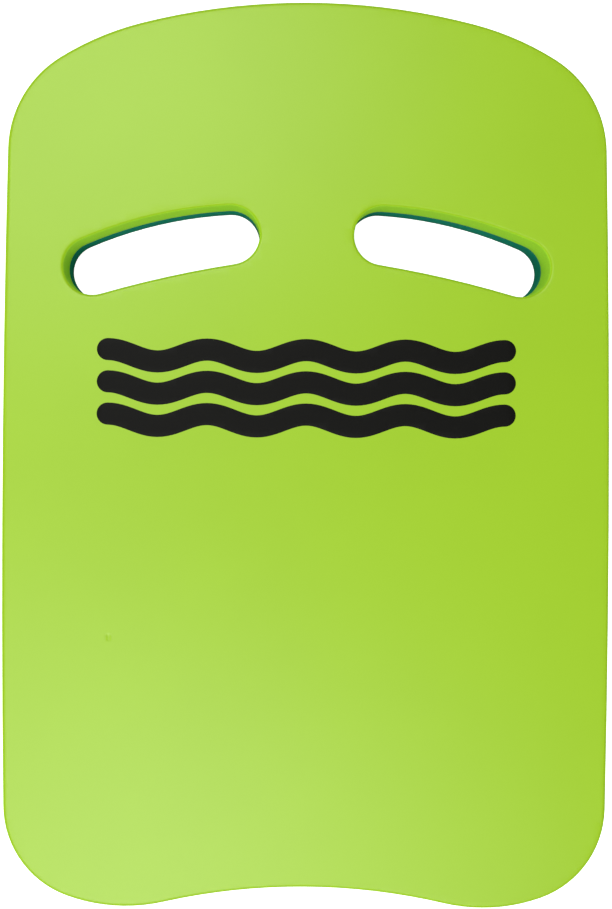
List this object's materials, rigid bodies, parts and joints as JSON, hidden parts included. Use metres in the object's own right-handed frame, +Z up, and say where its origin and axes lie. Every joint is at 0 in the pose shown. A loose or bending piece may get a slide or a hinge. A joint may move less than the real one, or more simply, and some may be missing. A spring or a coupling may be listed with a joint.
{
  "type": "kickboard float",
  "caption": "Flat two-colour foam swim training board with a rounded nose, a hollow tail and two curved hand slots; it floats and supports a swimmer's arms.",
  "frame": {"origin": "middle of the underside, at the centre of the base of the bounding box", "axes": "+X across the board, +Y along the board to the nose, +Z up through its thickness to the printed face"},
  "size_m": [0.302, 0.45, 0.0351],
  "materials": {
    "teal_foam": "satin",
    "adhesive": "satin",
    "lime_foam": "satin",
    "black_ink": "satin"
  },
  "bodies": {
    "root": {"bottom_foam": "teal_foam", "bond_film": "adhesive", "top_foam": "lime_foam", "print_bar_front": "black_ink", "print_bar_middle": "black_ink", "print_bar_rear": "black_ink"}
  },
  "joints": []
}
